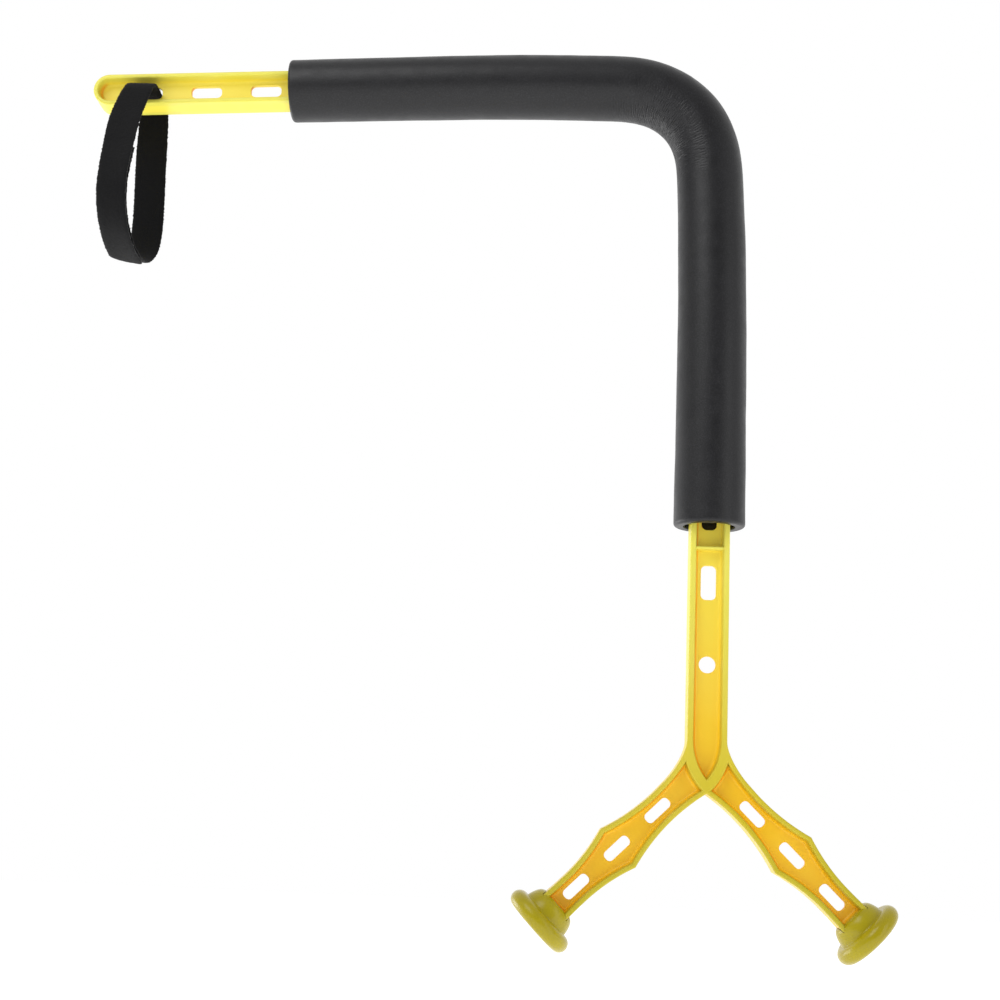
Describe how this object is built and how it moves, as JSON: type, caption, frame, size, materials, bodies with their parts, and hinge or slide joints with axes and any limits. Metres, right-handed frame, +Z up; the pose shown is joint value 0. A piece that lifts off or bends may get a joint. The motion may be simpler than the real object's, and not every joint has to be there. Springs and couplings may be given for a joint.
{
  "type": "golf swing trainer brace",
  "caption": "L-shaped moulded plastic brace with a foam sleeve round its corner, a forked foot with round end pads and a hook-and-loop wrist strap at its free end.",
  "frame": {"origin": "where the centrelines of the arm and the stem meet, on the outer side of the sleeve's bend", "axes": "+Z up along the stem, -X along the arm to its strap end (the arm drops 2.9 degrees below -X), +Y away from the front"},
  "size_m": [0.5225, 0.0769, 0.5699],
  "materials": {
    "yellow_plastic": "satin injection-moulded yellow plastic, slightly translucent",
    "pad_plastic": "satin yellow plastic with an olive cast where it is thick",
    "black_foam": "smooth-skinned black closed-cell foam, wrinkled on the inside of the bend",
    "black_webbing": "black brushed hook-and-loop tape, loop side out",
    "black_hooks": "black hook side of the tape",
    "zinc_steel": "zinc-plated steel"
  },
  "bodies": {
    "brace": {"arm_bar": "yellow_plastic", "fork": "yellow_plastic", "left_pad": "pad_plastic", "right_pad": "pad_plastic", "foam_sleeve": "black_foam", "lap_screw_1": "zinc_steel", "lap_screw_2": "zinc_steel", "lap_nut_1": "zinc_steel", "lap_nut_2": "zinc_steel"},
    "strap_loop": {"strap": "black_webbing", "strap_hook_patch": "black_hooks"}
  },
  "joints": [
    {"name": "strap_swing", "type": "hinge", "parent": "brace", "child": "strap_loop", "pos_m": [-0.37432, 0, -0.01896], "axis": [1, 0, 0], "range_deg": [-30, 30]}
  ]
}
